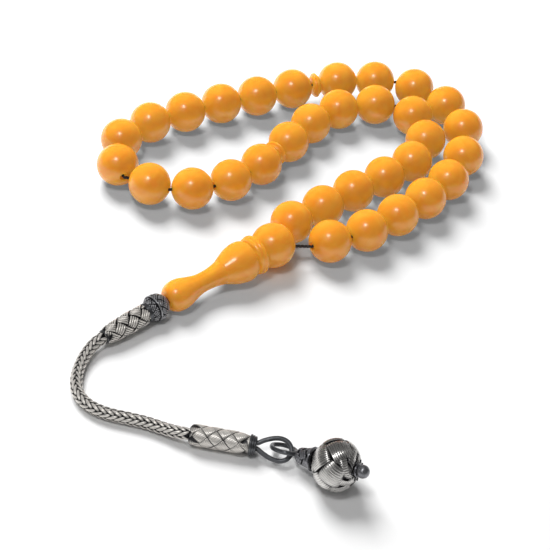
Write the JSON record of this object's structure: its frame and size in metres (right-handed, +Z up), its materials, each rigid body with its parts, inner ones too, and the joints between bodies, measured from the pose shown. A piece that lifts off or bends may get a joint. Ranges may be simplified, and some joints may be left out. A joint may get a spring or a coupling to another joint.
{
  "type": "prayer beads",
  "caption": "Closed string of round amber beads in groups parted by disc dividers, with a turned imame and a woven silver tassel with a ball pendant.",
  "frame": {"origin": "on the table, under the middle of the box round the beads, imame, knot and upper sleeve", "axes": "+Z up from the table, +X to the right of the laid-out string, +Y to its back, away from the tassel"},
  "size_m": [0.0931, 0.1457, 0.0108],
  "materials": {
    "amber_resin": "polished translucent amber resin, honey orange",
    "black_string": "twisted black cord",
    "bright_silver": "woven silver strip and wire, satin, with dark gaps",
    "dark_silver": "oxidised silver wire"
  },
  "bodies": {
    "root": {"string": "black_string", "imame_ball": "amber_resin", "tassel_knot": "dark_silver", "upper_sleeve": "bright_silver", "tassel_chain": "dark_silver", "lower_sleeve": "bright_silver", "sleeve_loop": "dark_silver"},
    "pendant": {"pendant_loop": "dark_silver", "pendant_neck": "dark_silver", "woven_ball": "bright_silver", "end_ball": "dark_silver"},
    "bead_01": {"bead_01": "amber_resin"},
    "bead_02": {"bead_02": "amber_resin"},
    "bead_03": {"bead_03": "amber_resin"},
    "bead_04": {"bead_04": "amber_resin"},
    "bead_05": {"bead_05": "amber_resin"},
    "bead_06": {"bead_06": "amber_resin"},
    "bead_07": {"bead_07": "amber_resin"},
    "bead_08": {"bead_08": "amber_resin"},
    "bead_09": {"bead_09": "amber_resin"},
    "bead_10": {"bead_10": "amber_resin"},
    "bead_11": {"bead_11": "amber_resin"},
    "divider_1": {"divider_1": "amber_resin"},
    "bead_12": {"bead_12": "amber_resin"},
    "bead_13": {"bead_13": "amber_resin"},
    "bead_14": {"bead_14": "amber_resin"},
    "bead_15": {"bead_15": "amber_resin"},
    "bead_16": {"bead_16": "amber_resin"},
    "bead_17": {"bead_17": "amber_resin"},
    "bead_18": {"bead_18": "amber_resin"},
    "bead_19": {"bead_19": "amber_resin"},
    "bead_20": {"bead_20": "amber_resin"},
    "bead_21": {"bead_21": "amber_resin"},
    "bead_22": {"bead_22": "amber_resin"},
    "divider_2": {"divider_2": "amber_resin"},
    "bead_23": {"bead_23": "amber_resin"},
    "bead_24": {"bead_24": "amber_resin"},
    "bead_25": {"bead_25": "amber_resin"},
    "bead_26": {"bead_26": "amber_resin"},
    "bead_27": {"bead_27": "amber_resin"},
    "bead_28": {"bead_28": "amber_resin"},
    "bead_29": {"bead_29": "amber_resin"},
    "bead_30": {"bead_30": "amber_resin"},
    "bead_31": {"bead_31": "amber_resin"},
    "bead_32": {"bead_32": "amber_resin"},
    "bead_33": {"bead_33": "amber_resin"},
    "imame_ring": {"imame_ring": "amber_resin"},
    "imame_body": {"imame_body": "amber_resin"}
  },
  "joints": [
    {"name": "pendant_swing", "type": "hinge", "parent": "root", "child": "pendant", "pos_m": [0.00674, -0.07962, 0.0023], "axis": [0, 0, 1], "range_deg": [-20, 20]},
    {"name": "bead_06_slide", "type": "slide", "parent": "root", "child": "bead_06", "axis": [0.1682, 0.9858, 0], "range_m": [-0.0007, 0.0011]},
    {"name": "imame_body_spin", "type": "hinge", "parent": "root", "child": "imame_body", "pos_m": [-0.00175, -0.02025, 0.0054], "axis": [-0.7046, -0.7065, -0.066], "continuous": true},
    {"name": "imame_ring_spin", "type": "hinge", "parent": "root", "child": "imame_ring", "pos_m": [-0.00175, -0.02025, 0.0054], "axis": [-0.7046, -0.7065, -0.066], "continuous": true},
    {"name": "divider_1_spin", "type": "hinge", "parent": "root", "child": "divider_1", "pos_m": [0.00292, 0.04534, 0.005], "axis": [-0.8815, -0.4722, 0], "continuous": true},
    {"name": "divider_2_spin", "type": "hinge", "parent": "root", "child": "divider_2", "pos_m": [-0.00449, 0.01462, 0.005], "axis": [0.4839, 0.8751, 0], "continuous": true},
    {"name": "bead_01_spin", "type": "hinge", "parent": "root", "child": "bead_01", "pos_m": [0.01115, -0.01545, 0.005], "axis": [0.8228, 0.5684, 0], "continuous": true},
    {"name": "bead_02_spin", "type": "hinge", "parent": "root", "child": "bead_02", "pos_m": [0.01941, -0.0097, 0.005], "axis": [0.7444, 0.6677, 0], "continuous": true},
    {"name": "bead_03_spin", "type": "hinge", "parent": "root", "child": "bead_03", "pos_m": [0.02638, -0.00243, 0.005], "axis": [0.6571, 0.7538, 0], "continuous": true},
    {"name": "bead_04_spin", "type": "hinge", "parent": "root", "child": "bead_04", "pos_m": [0.03275, 0.00538, 0.005], "axis": [0.6012, 0.7991, 0], "continuous": true},
    {"name": "bead_05_spin", "type": "hinge", "parent": "root", "child": "bead_05", "pos_m": [0.03813, 0.01391, 0.005], "axis": [0.4283, 0.9036, 0], "continuous": true},
    {"name": "bead_07_spin", "type": "hinge", "parent": "root", "child": "bead_07", "pos_m": [0.04145, 0.03575, 0.005], "axis": [-0.2511, 0.968, 0], "continuous": true},
    {"name": "bead_08_spin", "type": "hinge", "parent": "root", "child": "bead_08", "pos_m": [0.03686, 0.04471, 0.005], "axis": [-0.6577, 0.7533, 0], "continuous": true},
    {"name": "bead_09_spin", "type": "hinge", "parent": "root", "child": "bead_09", "pos_m": [0.02853, 0.05039, 0.005], "axis": [-0.9416, 0.3368, 0], "continuous": true},
    {"name": "bead_10_spin", "type": "hinge", "parent": "root", "child": "bead_10", "pos_m": [0.01819, 0.05111, 0.005], "axis": [-0.9937, -0.1123, 0], "continuous": true},
    {"name": "bead_11_spin", "type": "hinge", "parent": "root", "child": "bead_11", "pos_m": [0.0085, 0.04833, 0.005], "axis": [-0.9196, -0.393, 0], "continuous": true},
    {"name": "bead_12_spin", "type": "hinge", "parent": "root", "child": "bead_12", "pos_m": [-0.00267, 0.04235, 0.005], "axis": [-0.8564, -0.5163, 0], "continuous": true},
    {"name": "bead_13_spin", "type": "hinge", "parent": "root", "child": "bead_13", "pos_m": [-0.01124, 0.03705, 0.005], "axis": [-0.8495, -0.5275, 0], "continuous": true},
    {"name": "bead_14_spin", "type": "hinge", "parent": "root", "child": "bead_14", "pos_m": [-0.01978, 0.03169, 0.005], "axis": [-0.8403, -0.542, 0], "continuous": true},
    {"name": "bead_15_spin", "type": "hinge", "parent": "root", "child": "bead_15", "pos_m": [-0.02811, 0.02602, 0.005], "axis": [-0.8066, -0.5911, 0], "continuous": true},
    {"name": "bead_16_spin", "type": "hinge", "parent": "root", "child": "bead_16", "pos_m": [-0.03594, 0.01969, 0.005], "axis": [-0.6982, -0.7159, 0], "continuous": true},
    {"name": "bead_17_spin", "type": "hinge", "parent": "root", "child": "bead_17", "pos_m": [-0.04173, 0.01145, 0.005], "axis": [-0.3604, -0.9328, 0], "continuous": true},
    {"name": "bead_18_spin", "type": "hinge", "parent": "root", "child": "bead_18", "pos_m": [-0.04099, 0.00141, 0.005], "axis": [0.4354, -0.9003, 0], "continuous": true},
    {"name": "bead_19_spin", "type": "hinge", "parent": "root", "child": "bead_19", "pos_m": [-0.03252, -0.00404, 0.005], "axis": [0.9755, -0.2201, 0], "continuous": true},
    {"name": "bead_20_spin", "type": "hinge", "parent": "root", "child": "bead_20", "pos_m": [-0.02246, -0.00351, 0.005], "axis": [0.9539, 0.3, 0], "continuous": true},
    {"name": "bead_21_spin", "type": "hinge", "parent": "root", "child": "bead_21", "pos_m": [-0.01385, 0.00174, 0.005], "axis": [0.7477, 0.6641, 0], "continuous": true},
    {"name": "bead_22_spin", "type": "hinge", "parent": "root", "child": "bead_22", "pos_m": [-0.00736, 0.00943, 0.005], "axis": [0.5562, 0.831, 0], "continuous": true},
    {"name": "bead_23_spin", "type": "hinge", "parent": "root", "child": "bead_23", "pos_m": [-0.00161, 0.01981, 0.005], "axis": [0.4424, 0.8968, 0], "continuous": true},
    {"name": "bead_24_spin", "type": "hinge", "parent": "root", "child": "bead_24", "pos_m": [0.00316, 0.02868, 0.005], "axis": [0.5471, 0.8371, 0], "continuous": true},
    {"name": "bead_25_spin", "type": "hinge", "parent": "root", "child": "bead_25", "pos_m": [0.00966, 0.03637, 0.005], "axis": [0.7779, 0.6284, 0], "continuous": true},
    {"name": "bead_26_spin", "type": "hinge", "parent": "root", "child": "bead_26", "pos_m": [0.01878, 0.04064, 0.005], "axis": [0.9898, 0.1427, 0], "continuous": true},
    {"name": "bead_27_spin", "type": "hinge", "parent": "root", "child": "bead_27", "pos_m": [0.02854, 0.03817, 0.005], "axis": [0.7994, -0.6008, 0], "continuous": true},
    {"name": "bead_28_spin", "type": "hinge", "parent": "root", "child": "bead_28", "pos_m": [0.03206, 0.02873, 0.005], "axis": [0.0018, -1, 0], "continuous": true},
    {"name": "bead_29_spin", "type": "hinge", "parent": "root", "child": "bead_29", "pos_m": [0.029, 0.01913, 0.005], "axis": [-0.5049, -0.8632, 0], "continuous": true},
    {"name": "bead_30_spin", "type": "hinge", "parent": "root", "child": "bead_30", "pos_m": [0.02255, 0.0114, 0.005], "axis": [-0.71, -0.7042, 0], "continuous": true},
    {"name": "bead_31_spin", "type": "hinge", "parent": "root", "child": "bead_31", "pos_m": [0.01538, 0.00431, 0.005], "axis": [-0.6868, -0.7268, 0], "continuous": true},
    {"name": "bead_32_spin", "type": "hinge", "parent": "root", "child": "bead_32", "pos_m": [0.00857, -0.00313, 0.005], "axis": [-0.6719, -0.7406, 0], "continuous": true},
    {"name": "bead_33_spin", "type": "hinge", "parent": "root", "child": "bead_33", "pos_m": [0.0018, -0.01059, 0.005], "axis": [-0.6729, -0.7397, 0], "continuous": true}
  ]
}
